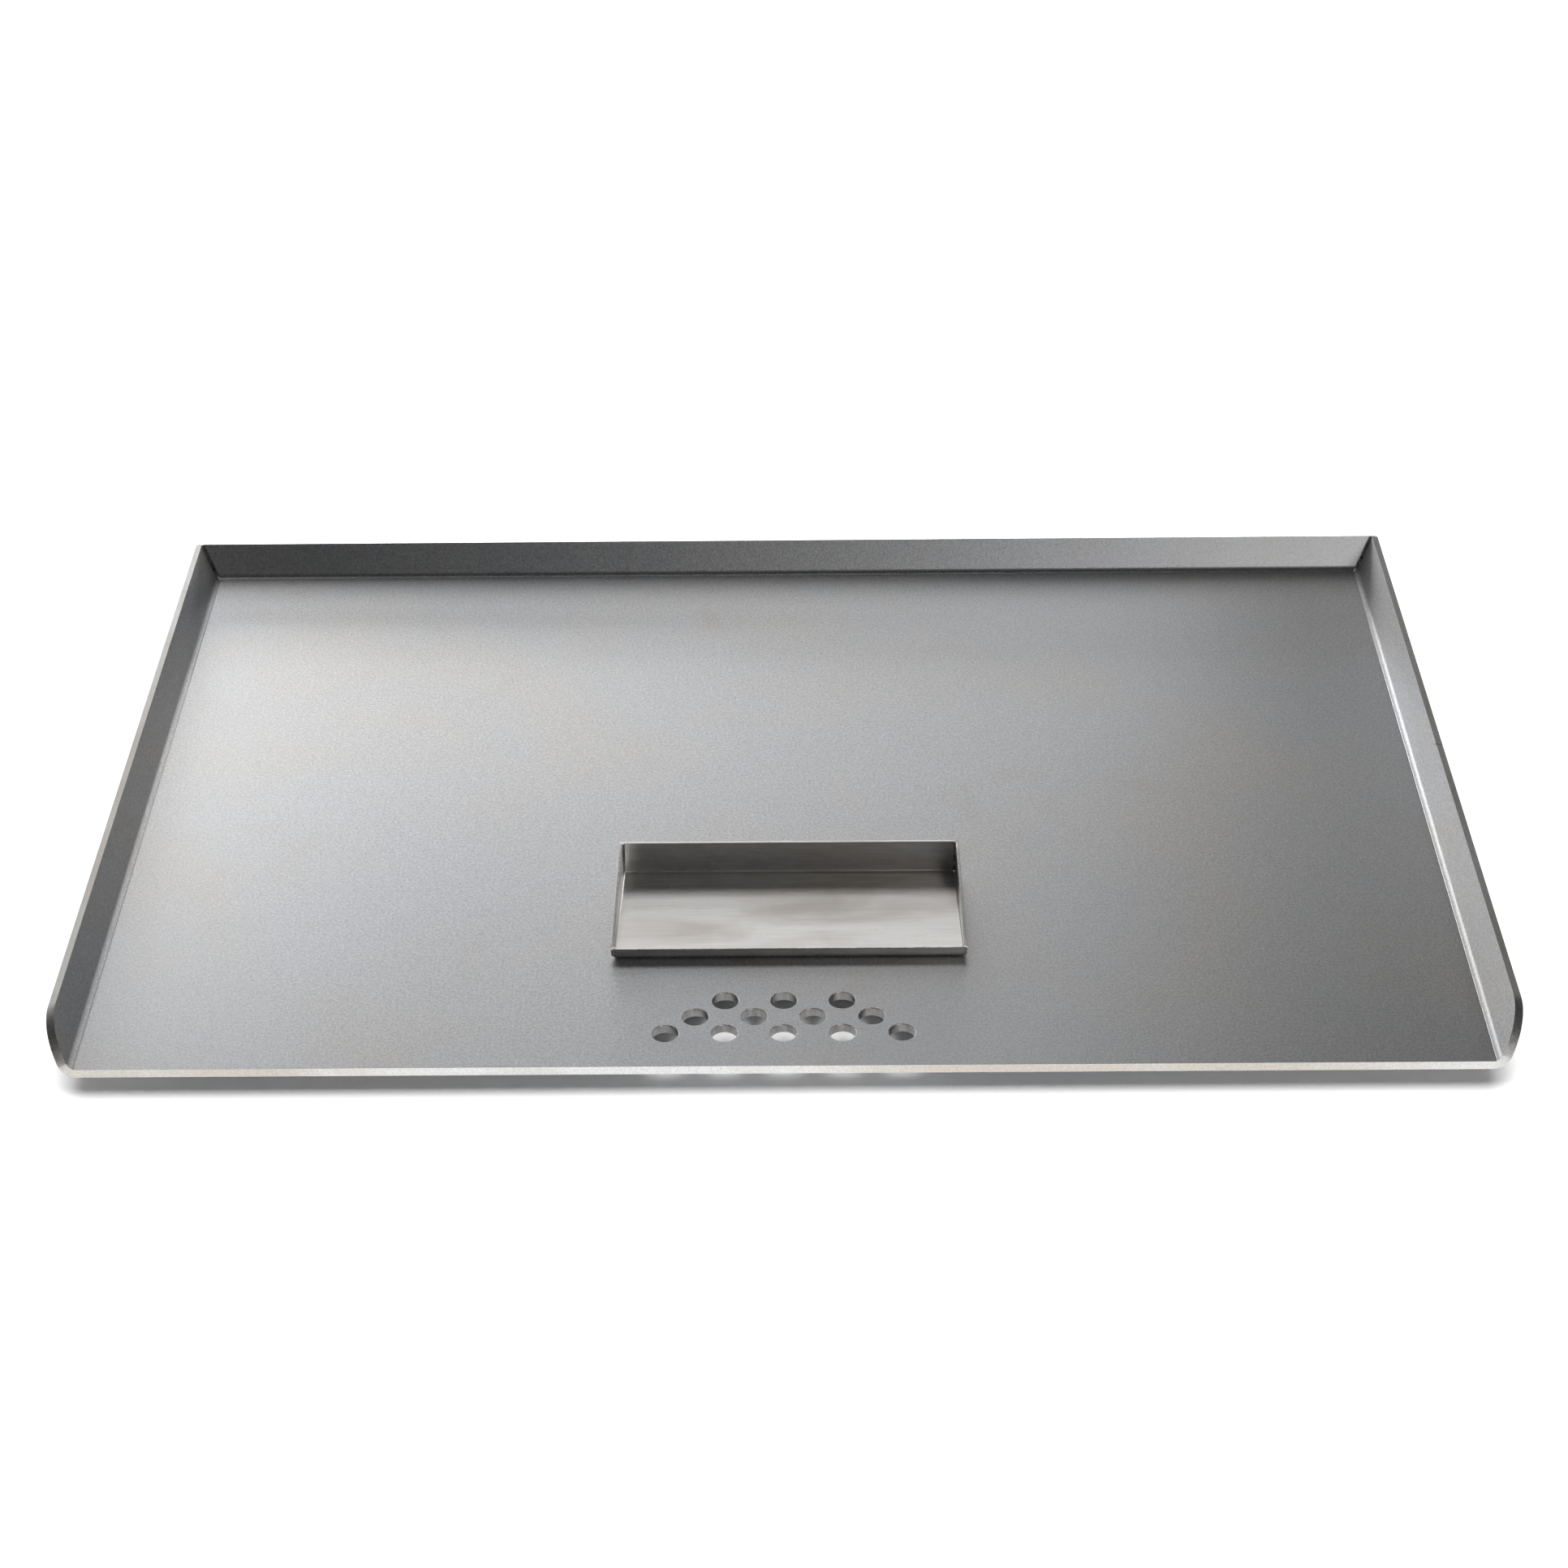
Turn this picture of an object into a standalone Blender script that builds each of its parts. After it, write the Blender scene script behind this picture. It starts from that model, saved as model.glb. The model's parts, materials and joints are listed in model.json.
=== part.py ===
"""Flat top griddle for a four-burner range, in metres, +Z up, front towards -Y.

A steel plate is folded up along its left, right and rear edges into flared walls. Its two rear
corners are mitred and welded. Twelve drain holes in three rows stand near the open front edge.
A ladder of flat bars on edge is stitch-welded under the plate and carries it. A small wedge-shaped
grease tray, folded from thin sheet and welded at its corners, stands loose on the plate.

The origin is at the centre of the bounding box's base, between the bars' lower edges.
"""

import math

import bmesh
import bpy
from mathutils import Matrix, Vector

INCH = 0.0254
MM = 0.001

# Griddle plate
PLATE_WIDTH = 28.5 * INCH            # over both side walls
PLATE_DEPTH = 19.5 * INCH            # front edge to the rear wall's outer edge
PLATE_THICKNESS = 3 / 16 * INCH
WALL_RISE = 18.4 * MM                # inner top edge above the cooking surface
WALL_FLARE = math.radians(27.5)      # outward lean, from the vertical
PLATE_BEND_RADIUS = 3.0 * MM         # inside the bend
WALL_END_RADIUS = 32.0 * MM          # rounds off the front end of each side wall
CORNER_GAP = 1.5 * MM                # each wall stops this far short of the mitre

# Drain holes
HOLE_DIAMETER = 13.6 * MM
HOLE_PITCH = 29.2 * MM               # centre to centre along a row
HOLE_ROW_PITCH = 13.1 * MM           # row to row
FIRST_ROW_INSET = 26.0 * MM          # front edge to the first row
HOLES_PER_ROW = (5, 4, 3)

# Bracing under the plate
BAR_HEIGHT = 1 / 2 * INCH
BAR_THICKNESS = 3 / 16 * INCH
BAR_EDGE_RADIUS = 0.6 * MM
LONG_BAR_LENGTH = 600.0 * MM
FRONT_BAR_INSET = 84.0 * MM          # front edge to the bar's centre plane
REAR_BAR_INSET = 420.0 * MM
CROSS_BAR_SPACING = 215.0 * MM

# Stitch welds along the bars
STITCH_LENGTH = 25.0 * MM
STITCH_LEG = 4.0 * MM
STITCH_CROWN = 0.6 * MM
LONG_BAR_STITCHES = (-255.0 * MM, -95.0 * MM, 95.0 * MM, 255.0 * MM)
CROSS_BAR_STITCHES = (-110.0 * MM, 110.0 * MM)
JOINT_WELD_LENGTH = 9.0 * MM         # upright weld where a cross bar meets a long bar

# Grease tray
TRAY_SHEET = 1.5 * MM
TRAY_BEND_RADIUS = 1.2 * MM
TRAY_FRONT_WIDTH = 181.0 * MM
TRAY_REAR_WIDTH = 178.0 * MM
TRAY_DEPTH = 75.9 * MM
TRAY_FRONT_HEIGHT = 6.2 * MM
TRAY_REAR_HEIGHT = 20.3 * MM
TRAY_CORNER_GAP = 1.2 * MM
TRAY_INSET = 87.2 * MM               # plate's front edge to the tray's front face
TRAY_SHIFT = 2.6 * MM                # tray's centre, to the right of the plate's

# Fits and facets
CLEARANCE = 0.3 * MM                 # between pieces that touch
BEND_STEPS = 5
WALL_END_STEPS = 9
HOLE_SIDES = 32
CORNER_WELD_CROWN = 0.3 * MM
TRAY_WELD_CROWN = 0.5 * MM
TRAY_WELD_TIP_CROWN = 1.0 * MM

# Heights
PLATE_BOTTOM = BAR_HEIGHT + CLEARANCE
PLATE_TOP = PLATE_BOTTOM + PLATE_THICKNESS
TRAY_BOTTOM = PLATE_TOP + CLEARANCE
FRONT = -PLATE_DEPTH / 2


def clear_scene():
    """Remove every object that the scene holds."""
    for thing in list(bpy.data.objects):
        bpy.data.objects.remove(thing, do_unlink=True)


def make_material(name, colour, metallic, roughness):
    """A Principled material in one colour."""
    material = bpy.data.materials.new(name)
    material.use_nodes = True
    shader = material.node_tree.nodes["Principled BSDF"]
    shader.inputs["Base Color"].default_value = (*colour, 1.0)
    shader.inputs["Metallic"].default_value = metallic
    shader.inputs["Roughness"].default_value = roughness
    return material


def make_empty(name, location):
    """An empty that carries the pieces of one body."""
    empty = bpy.data.objects.new(name, None)
    empty.location = location
    bpy.context.collection.objects.link(empty)
    return empty


def make_object(name, bm, material, parent, location=(0.0, 0.0, 0.0), rotation=(0.0, 0.0, 0.0)):
    """Turn a bmesh into an object, placed in its parent's space."""
    bmesh.ops.recalc_face_normals(bm, faces=bm.faces)
    mesh = bpy.data.meshes.new(name)
    bm.to_mesh(mesh)
    bm.free()
    mesh.shade_smooth()
    mesh.set_sharp_from_angle(angle=math.radians(30))
    mesh.materials.append(material)
    piece = bpy.data.objects.new(name, mesh)
    piece.location = location
    piece.rotation_euler = rotation
    piece.parent = parent
    bpy.context.collection.objects.link(piece)
    return piece


def flange_point(length, radius, thickness, bend):
    """Inner and outer (out, up) points of a folded wall.

    length runs along the inner surface from the line where the bend starts.
    """
    angle = min(length / radius, bend)
    straight = max(length - radius * bend, 0.0)
    out = radius * math.sin(angle) + straight * math.cos(bend)
    up = radius * (1 - math.cos(angle)) + straight * math.sin(bend)
    inner = (out, up)
    outer = (out + thickness * math.sin(angle), up - thickness * math.cos(angle))
    return inner, outer


def folded_sheet(walls):
    """One closed sheet with walls folded up along its edges.

    Each wall is four columns of points, from the floor's edge to the wall's top: inner and outer
    at its start, then inner and outer at its end. Walls follow each other round the floor. Where
    one wall's end doesn't meet the next wall's start, the sheet is open and has a plain cut edge.
    """
    bm = bmesh.new()

    def face(points):
        bm.faces.new([bm.verts.new(point) for point in points])

    for start_in, start_out, end_in, end_out in walls:
        for low in range(len(start_in) - 1):
            high = low + 1
            face((start_in[low], end_in[low], end_in[high], start_in[high]))
            face((start_out[low], start_out[high], end_out[high], end_out[low]))
            face((start_in[low], start_in[high], start_out[high], start_out[low]))
            face((end_in[low], end_out[low], end_out[high], end_in[high]))
        face((start_in[-1], end_in[-1], end_out[-1], start_out[-1]))

    floor = []
    underside = []
    for wall, following in zip(walls, walls[1:] + walls[:1]):
        start_in, start_out, end_in, end_out = wall
        floor.append(start_in[0])
        underside.append(start_out[0])
        if (end_in[0] - following[0][0]).length > CLEARANCE:
            floor.append(end_in[0])
            underside.append(end_out[0])
            face((end_in[0], following[0][0], following[1][0], end_out[0]))
    face(floor)
    face(underside)
    bmesh.ops.remove_doubles(bm, verts=bm.verts, dist=0.001 * MM)
    return bm


def corner_weld(first, second, crowns):
    """The weld that fills the gap between two walls' ends.

    first and second are (inner, outer) columns of points, and crowns gives how far the bead stands
    out at each height.
    """
    bm = bmesh.new()
    rings = []
    for in_a, out_a, in_b, out_b, crown in zip(*first, *second, crowns):
        across_in = (in_b - in_a).normalized() * CLEARANCE
        across_out = (out_b - out_a).normalized() * CLEARANCE
        middle_in = (in_a + in_b) / 2
        middle_out = (out_a + out_b) / 2
        outward = (middle_out - middle_in).normalized()
        ring = (in_a + across_in, in_b - across_in, out_b - across_out,
                middle_out + outward * crown, out_a + across_out)
        rings.append([bm.verts.new(point) for point in ring])
    for low, high in zip(rings, rings[1:]):
        for here in range(len(low)):
            after = (here + 1) % len(low)
            bm.faces.new((low[here], low[after], high[after], high[here]))
    bm.faces.new(rings[0])
    bm.faces.new(rings[-1])
    return bm


def wall_lengths():
    """Developed lengths at which the plate's walls have points, from the bend to the top edge."""
    bend = math.pi / 2 - WALL_FLARE
    arc = PLATE_BEND_RADIUS * bend
    total = arc + (WALL_RISE - PLATE_BEND_RADIUS * (1 - math.cos(bend))) / math.sin(bend)
    lengths = [arc * step / BEND_STEPS for step in range(BEND_STEPS + 1)]
    last_angle = math.acos(1 - (total - arc) / WALL_END_RADIUS)
    for step in range(1, WALL_END_STEPS + 1):
        angle = last_angle * (1 - step / WALL_END_STEPS)
        lengths.append(total - WALL_END_RADIUS * (1 - math.cos(angle)))
    return lengths


def wall_end_setback(length, total):
    """How far a side wall's front end stands behind the front edge, at a developed length."""
    rise_left = WALL_END_RADIUS - (total - length)
    lowest = WALL_END_RADIUS - total
    return (math.sqrt(WALL_END_RADIUS ** 2 - lowest ** 2)
            - math.sqrt(WALL_END_RADIUS ** 2 - rise_left ** 2))


def gap_at(length, arc, full):
    """The corner gap opens along the bend and stays the same up the wall."""
    return full * min(length / arc, 1.0)


def plate_walls():
    """Columns of points for the plate's left, rear and right walls, in the plate's own space."""
    bend = math.pi / 2 - WALL_FLARE
    arc = PLATE_BEND_RADIUS * bend
    lengths = wall_lengths()
    total = lengths[-1]
    reach = flange_point(total, PLATE_BEND_RADIUS, PLATE_THICKNESS, bend)[1][0]
    half = PLATE_WIDTH / 2 - reach
    rear = PLATE_DEPTH / 2 - reach

    def column(side, place, skin):
        """Points up one wall end. side is -1 left or 1 right; skin is 0 inner or 1 outer."""
        points = []
        for length in lengths:
            out, up = flange_point(length, PLATE_BEND_RADIUS, PLATE_THICKNESS, bend)[skin]
            gap = gap_at(length, arc, CORNER_GAP)
            if place == "front":
                point = (side * (half + out), FRONT + wall_end_setback(length, total), up)
            elif place == "side_rear":
                point = (side * (half + out), rear + out - gap, up)
            else:
                point = (side * (half + out - gap), rear + out, up)
            points.append(Vector(point))
        return points

    def wall(start, end):
        return [column(*start, 0), column(*start, 1), column(*end, 0), column(*end, 1)]

    left = wall((-1, "front"), (-1, "side_rear"))
    back = wall((-1, "rear"), (1, "rear"))
    right = wall((1, "side_rear"), (1, "front"))
    return left, back, right


def drain_hole_cutter():
    """Twelve cylinders, one for each drain hole. Neighbouring rows are staggered by half a pitch."""
    bm = bmesh.new()
    for row, count in enumerate(HOLES_PER_ROW):
        y = FRONT + FIRST_ROW_INSET + row * HOLE_ROW_PITCH
        for place in range(count):
            x = (place - (count - 1) / 2) * HOLE_PITCH
            bmesh.ops.create_cone(
                bm, cap_ends=True, segments=HOLE_SIDES, depth=3 * PLATE_THICKNESS,
                radius1=HOLE_DIAMETER / 2, radius2=HOLE_DIAMETER / 2,
                matrix=Matrix.Translation((x, y, -PLATE_THICKNESS / 2)))
    return bm


def build_plate(steel, body):
    """The folded plate, with its drain holes cut."""
    walls = plate_walls()
    at = (0.0, 0.0, PLATE_TOP)
    plate = make_object("griddle_plate", folded_sheet(list(walls)), steel, body, at)
    cutter = make_object("drain_hole_cutter", drain_hole_cutter(), steel, body, at)
    cutter.hide_render = True
    cutter.display_type = "WIRE"
    holes = plate.modifiers.new("drain_holes", "BOOLEAN")
    holes.operation = "DIFFERENCE"
    holes.solver = "EXACT"
    holes.object = cutter
    return walls


def build_plate_corner_welds(walls, steel, body):
    """A weld up each rear corner of the plate, from partway round the bend to the top."""
    left, back, right = walls
    first_point = BEND_STEPS - 1
    corners = {
        "plate_corner_weld_left": (left[2:], back[:2]),
        "plate_corner_weld_right": (back[2:], right[:2]),
    }
    for name, (before, after) in corners.items():
        first = [column[first_point:] for column in before]
        second = [column[first_point:] for column in after]
        crowns = [CORNER_WELD_CROWN] * len(first[0])
        bead = corner_weld(first, second, crowns)
        make_object(name, bead, steel, body, (0.0, 0.0, PLATE_TOP))


def flat_bar(length):
    """A flat bar on edge along X, with its lower edge at the origin's height."""
    bm = bmesh.new()
    size = Matrix.Diagonal((length, BAR_THICKNESS, BAR_HEIGHT, 1.0))
    bmesh.ops.create_cube(bm, size=1.0, matrix=Matrix.Translation((0, 0, BAR_HEIGHT / 2)) @ size)
    return bm


def fillet_bead(length):
    """A fillet weld along X, in the corner of a face at y = 0 and a ceiling at z = 0."""
    bm = bmesh.new()
    sections = 8
    arc_steps = 4
    rings = []
    for step in range(sections + 1):
        along = step / sections * 2 - 1
        swell = max(math.sqrt(max(1 - along ** 6, 0.0)), 0.35)
        leg = STITCH_LEG * swell
        ring = [Vector((0.0, 0.0, 0.0))]
        for part in range(arc_steps + 1):
            share = part / arc_steps
            bulge = STITCH_CROWN * swell * math.sin(math.pi * share)
            ring.append(Vector((0.0, leg * (1 - share) + bulge, -leg * share - bulge)))
        offset = Vector((along * length / 2, CLEARANCE, -CLEARANCE))
        rings.append([bm.verts.new(point + offset) for point in ring])
    for low, high in zip(rings, rings[1:]):
        for here in range(len(low)):
            after = (here + 1) % len(low)
            bm.faces.new((low[here], low[after], high[after], high[here]))
    bm.faces.new(rings[0])
    bm.faces.new(rings[-1])
    return bm


def build_bar(name, centre, turn, length, stitches, steel, weld, body):
    """One bar and the stitch welds along it, on alternate faces."""
    bar = make_object(name, flat_bar(length), steel, body, (*centre, 0.0), (0.0, 0.0, turn))
    rounding = bar.modifiers.new("rolled_edges", "BEVEL")
    rounding.width = BAR_EDGE_RADIUS
    rounding.segments = 2
    rounding.limit_method = "ANGLE"
    for number, along in enumerate(stitches, start=1):
        face = 1 if number % 2 else -1
        facing = (0.0, 0.0, turn if face == 1 else turn + math.pi)
        place = Matrix.Rotation(turn, 3, "Z") @ Vector((along, face * BAR_THICKNESS / 2, 0.0))
        at = (centre[0] + place.x, centre[1] + place.y, PLATE_BOTTOM)
        bead = fillet_bead(STITCH_LENGTH)
        make_object(f"{name}_weld_{number}", bead, weld, body, at, facing)


def build_joint_weld(name, x, y, end, weld, body):
    """The upright weld in one corner where a cross bar's end meets a long bar's face.

    end is -1 at the front bar and 1 at the rear bar.
    """
    side = BAR_THICKNESS / 2 * end
    at = (x + side, y - side, BAR_HEIGHT / 2)
    facing = (0.0, math.pi / 2, 0.0 if end == -1 else math.pi)
    make_object(name, fillet_bead(JOINT_WELD_LENGTH), weld, body, at, facing)


def build_bracing(steel, weld, body):
    """Two long bars across the plate and three cross bars between them."""
    front = FRONT + FRONT_BAR_INSET
    rear = FRONT + REAR_BAR_INSET
    for name, y in (("brace_front", front), ("brace_rear", rear)):
        build_bar(name, (0.0, y), 0.0, LONG_BAR_LENGTH, LONG_BAR_STITCHES, steel, weld, body)
    middle = (front + rear) / 2
    length = rear - front - BAR_THICKNESS - 2 * CLEARANCE
    for name, side in (("brace_left", -1), ("brace_centre", 0), ("brace_right", 1)):
        x = side * CROSS_BAR_SPACING
        build_bar(name, (x, middle), math.pi / 2, length, CROSS_BAR_STITCHES, steel, weld, body)
        build_joint_weld(f"{name}_joint_weld_front", x, front, -1, weld, body)
        build_joint_weld(f"{name}_joint_weld_rear", x, rear, 1, weld, body)


def tray_walls():
    """Columns of points for the tray's left, rear, right and front walls, in the tray's space.

    The tray's origin is at the middle of its base.
    """
    bend = math.pi / 2
    arc = TRAY_BEND_RADIUS * bend
    reach = TRAY_BEND_RADIUS + TRAY_SHEET

    def column(side, end, along_side, skin):
        """Points up one wall end. side is -1 left or 1 right, end is -1 front or 1 rear."""
        half = (TRAY_REAR_WIDTH if end == 1 else TRAY_FRONT_WIDTH) / 2 - reach
        depth = TRAY_DEPTH / 2 - reach
        height = TRAY_REAR_HEIGHT if end == 1 else TRAY_FRONT_HEIGHT
        total = arc + height - reach
        lengths = [arc * step / BEND_STEPS for step in range(BEND_STEPS + 1)]
        lengths += [(arc + total) / 2, total]
        points = []
        for length in lengths:
            out, up = flange_point(length, TRAY_BEND_RADIUS, TRAY_SHEET, bend)[skin]
            gap = gap_at(length, arc, TRAY_CORNER_GAP)
            x = half + out - (0.0 if along_side else gap)
            y = depth + out - (gap if along_side else 0.0)
            points.append(Vector((side * x, end * y, TRAY_SHEET + up)))
        return points

    def wall(start, end, along_side):
        return [column(*start, along_side, 0), column(*start, along_side, 1),
                column(*end, along_side, 0), column(*end, along_side, 1)]

    left = wall((-1, -1), (-1, 1), True)
    rear = wall((-1, 1), (1, 1), False)
    right = wall((1, 1), (1, -1), True)
    front = wall((1, -1), (-1, -1), False)
    return left, rear, right, front


def build_tray(sheet, weld, body):
    """The folded tray and the weld at each of its corners."""
    walls = tray_walls()
    left, rear, right, front = walls
    make_object("grease_tray", folded_sheet(list(walls)), sheet, body)
    corners = {
        "tray_weld_rear_left": (left, rear),
        "tray_weld_rear_right": (rear, right),
        "tray_weld_front_right": (right, front),
        "tray_weld_front_left": (front, left),
    }
    for name, (before, after) in corners.items():
        first = [column[BEND_STEPS:] for column in before[2:]]
        second = [column[BEND_STEPS:] for column in after[:2]]
        crowns = [TRAY_WELD_CROWN] * (len(first[0]) - 1) + [TRAY_WELD_TIP_CROWN]
        make_object(name, corner_weld(first, second, crowns), weld, body)


def build():
    """Build every piece."""
    clear_scene()
    plate_steel = make_material("plate_steel", (0.33, 0.34, 0.35), 1.0, 0.45)
    plate_weld = make_material("plate_weld", (0.22, 0.21, 0.21), 1.0, 0.50)
    bar_steel = make_material("bar_steel", (0.18, 0.185, 0.195), 1.0, 0.55)
    stitch_weld = make_material("stitch_weld", (0.20, 0.19, 0.19), 1.0, 0.50)
    tray_steel = make_material("tray_steel", (0.55, 0.53, 0.51), 1.0, 0.30)
    tray_weld = make_material("tray_weld", (0.30, 0.24, 0.20), 1.0, 0.40)

    griddle = make_empty("griddle", (0.0, 0.0, 0.0))
    tray = make_empty("tray", (TRAY_SHIFT, FRONT + TRAY_INSET + TRAY_DEPTH / 2, TRAY_BOTTOM))

    walls = build_plate(plate_steel, griddle)
    build_plate_corner_welds(walls, plate_weld, griddle)
    build_bracing(bar_steel, stitch_weld, griddle)
    build_tray(tray_steel, tray_weld, tray)


build()
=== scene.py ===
"""Looks for the flat top griddle: detailed sheet, weld and tray meshes, steel materials, studio."""

import json
import math
import random

import bmesh
import bpy
from mathutils import Matrix, Vector


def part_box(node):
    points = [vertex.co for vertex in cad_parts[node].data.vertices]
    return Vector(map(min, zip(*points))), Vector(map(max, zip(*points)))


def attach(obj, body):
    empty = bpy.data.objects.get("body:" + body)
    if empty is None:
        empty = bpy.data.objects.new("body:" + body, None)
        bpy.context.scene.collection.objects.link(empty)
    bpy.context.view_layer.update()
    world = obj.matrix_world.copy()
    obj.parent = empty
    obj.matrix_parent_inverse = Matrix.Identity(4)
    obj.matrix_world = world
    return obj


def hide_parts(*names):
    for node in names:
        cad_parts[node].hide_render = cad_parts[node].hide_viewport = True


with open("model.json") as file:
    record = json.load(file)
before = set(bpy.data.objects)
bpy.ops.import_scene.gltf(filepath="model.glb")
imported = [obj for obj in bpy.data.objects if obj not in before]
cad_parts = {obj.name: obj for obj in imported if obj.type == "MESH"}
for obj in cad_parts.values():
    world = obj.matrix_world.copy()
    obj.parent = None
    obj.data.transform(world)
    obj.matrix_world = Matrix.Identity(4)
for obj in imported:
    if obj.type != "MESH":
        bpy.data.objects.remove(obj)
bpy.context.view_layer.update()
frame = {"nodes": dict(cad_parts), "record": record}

MM = 0.001
INCH = 0.0254

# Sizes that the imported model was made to, repeated where its boxes can't give them
SHEET = 3 / 16 * INCH
WALL_RISE = 18.4 * MM
WALL_FLARE = math.radians(27.5)
BEND_RADIUS = 3.0 * MM
WALL_END_RADIUS = 32.0 * MM
CORNER_GAP = 1.5 * MM
HOLE_DIAMETER = 13.6 * MM
TRAY_SHEET = 1.5 * MM
TRAY_BEND_RADIUS = 1.2 * MM
TRAY_REAR_WIDTH = 178.0 * MM
TRAY_FRONT_HEIGHT = 6.2 * MM
TRAY_CORNER_GAP = 1.2 * MM

# Fine shape
EDGE_EASE = 0.3 * MM
SOFT_BEND_RADIUS = 4.6 * MM
CREASE_PLACE = 1.0 * MM
CREASE_WIDTH = 0.7 * MM
CREASE_DEPTH = 0.22 * MM
HOLE_CHAMFER = 0.4 * MM
BORE_DIAMETER = HOLE_DIAMETER - 1.3 * HOLE_CHAMFER
LAP_LINE_INSET = 16.5 * MM
LAP_LINE_WIDTH = 0.7 * MM
NOTCH_PLACE = 256.7 * MM
NOTCH_WIDTH = 0.6 * MM
NOTCH_DEPTH = 1.3 * MM
TRAY_EDGE_EASE = 0.14 * MM
SHARP_EDGE = math.radians(60)
SAME_POINT = 0.002 * MM
MEETING_CORNER = 0.3 * MM

# How far the welds' heat reaches into the tray's sheet: outer and inner edge of each tint
BLUE_TINT_REACH = (14 * MM, 8 * MM)
BROWN_TINT_REACH = (9 * MM, 5.5 * MM)

# Most of a noise texture's values lie between these
NOISE_LOW = 0.3
NOISE_HIGH = 0.7

PLATE_LOW, PLATE_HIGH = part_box("griddle_plate")
PLATE_TOP = PLATE_LOW.z + SHEET
TRAY_LOW, TRAY_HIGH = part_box("grease_tray")


# ---------------------------------------------------------------- materials

class Nodes:
    """A short way to build a material's node tree."""

    def __init__(self, tree):
        self.tree = tree

    def add(self, kind, inputs=None, **settings):
        node = self.tree.nodes.new(kind)
        for name, value in settings.items():
            setattr(node, name, value)
        for name, value in (inputs or {}).items():
            if isinstance(value, bpy.types.NodeSocket):
                self.tree.links.new(value, node.inputs[name])
            else:
                node.inputs[name].default_value = value
        return node

    def math(self, operation, first, second=0.0):
        return self.add("ShaderNodeMath", {0: first, 1: second}, operation=operation).outputs[0]

    def noise(self, vector, scale, detail=2.0, roughness=0.5, distortion=0.0):
        node = self.add("ShaderNodeTexNoise", {"Vector": vector, "Scale": scale, "Detail": detail,
                                               "Roughness": roughness, "Distortion": distortion})
        return node.outputs["Fac"]

    def spread(self, value, low, high, to_low=0.0, to_high=1.0):
        node = self.add("ShaderNodeMapRange", {"Value": value, "From Min": low, "From Max": high,
                                               "To Min": to_low, "To Max": to_high})
        return node.outputs["Result"]

    def mix(self, share, first, second, blend="MIX"):
        node = self.add("ShaderNodeMix", data_type="RGBA", blend_type=blend)
        for socket, value in ((node.inputs["Factor"], share), (node.inputs[6], first),
                              (node.inputs[7], second)):
            if isinstance(value, bpy.types.NodeSocket):
                self.tree.links.new(value, socket)
            elif isinstance(value, tuple):
                socket.default_value = (*value, 1.0)
            else:
                socket.default_value = value
        return node.outputs[2]

    def stretched(self, vector, scale):
        return self.add("ShaderNodeVectorMath", {0: vector, 1: scale},
                        operation="MULTIPLY").outputs[0]

    def bump(self, height, distance):
        inputs = {"Height": height, "Distance": distance, "Strength": 1.0}
        return self.add("ShaderNodeBump", inputs).outputs["Normal"]


def start_material(name):
    """A new metal and its node helper, shader and object-space coordinates."""
    material = bpy.data.materials.new(name)
    material.use_nodes = True
    nodes = Nodes(material.node_tree)
    shader = material.node_tree.nodes["Principled BSDF"]
    shader.inputs["Metallic"].default_value = 1.0
    place = nodes.add("ShaderNodeTexCoord").outputs["Object"]
    return material, nodes, shader, place


def plug(nodes, shader, **sockets):
    for name, value in sockets.items():
        nodes.tree.links.new(value, shader.inputs[name.replace("_", " ")])


def plate_material():
    """Bare matte steel: a fine blasted grain, faint warm mottling and one lap line."""
    material, nodes, shader, place = start_material("plate_steel")
    grain = nodes.noise(place, 780.0, 2.0, 0.6)
    fine = nodes.noise(place, 1700.0, 2.0, 0.6)
    blotch = nodes.noise(place, 7.0, 5.0, 0.6, 0.5)
    stain = nodes.noise(place, 16.0, 3.0, 0.5, 0.8)
    cool, warm = (0.462, 0.472, 0.488), (0.488, 0.480, 0.472)
    tone = nodes.mix(nodes.spread(blotch, 0.38, 0.66), cool, warm)
    tone = nodes.mix(nodes.spread(stain, 0.64, 0.78, 0.0, 0.5), tone, (0.455, 0.43, 0.405))
    speckle = nodes.math("MULTIPLY", nodes.spread(grain, NOISE_LOW, NOISE_HIGH, 0.80, 1.20),
                         nodes.spread(fine, NOISE_LOW, NOISE_HIGH, 0.92, 1.08))
    axes = nodes.add("ShaderNodeSeparateXYZ", {0: place})
    wave = nodes.math("MULTIPLY_ADD", nodes.noise(place, 6.0, 1.0), 0.004)
    behind_line = nodes.math("ADD", axes.outputs["Y"], wave)
    front_strip = nodes.spread(behind_line, PLATE_LOW.y + LAP_LINE_INSET,
                               PLATE_LOW.y + LAP_LINE_INSET + LAP_LINE_WIDTH, 1.035, 1.0)
    right_part = nodes.spread(axes.outputs["X"], 0.12, 0.20)
    strip = nodes.add("ShaderNodeMix", {"Factor": right_part, "A": 1.0, "B": front_strip})
    speckle = nodes.math("MULTIPLY", speckle, strip.outputs[0])
    colour = nodes.mix(1.0, tone, speckle, "MULTIPLY")
    roughness = nodes.math("ADD", nodes.spread(grain, NOISE_LOW, NOISE_HIGH, 0.40, 0.46),
                           nodes.spread(blotch, NOISE_LOW, NOISE_HIGH, -0.012, 0.012))
    height = nodes.math("MULTIPLY_ADD", fine, 0.5)
    nodes.tree.links.new(grain, height.node.inputs[2])
    plug(nodes, shader, Base_Color=colour, Roughness=roughness,
         Normal=nodes.bump(height, 0.00005))
    return material


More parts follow.
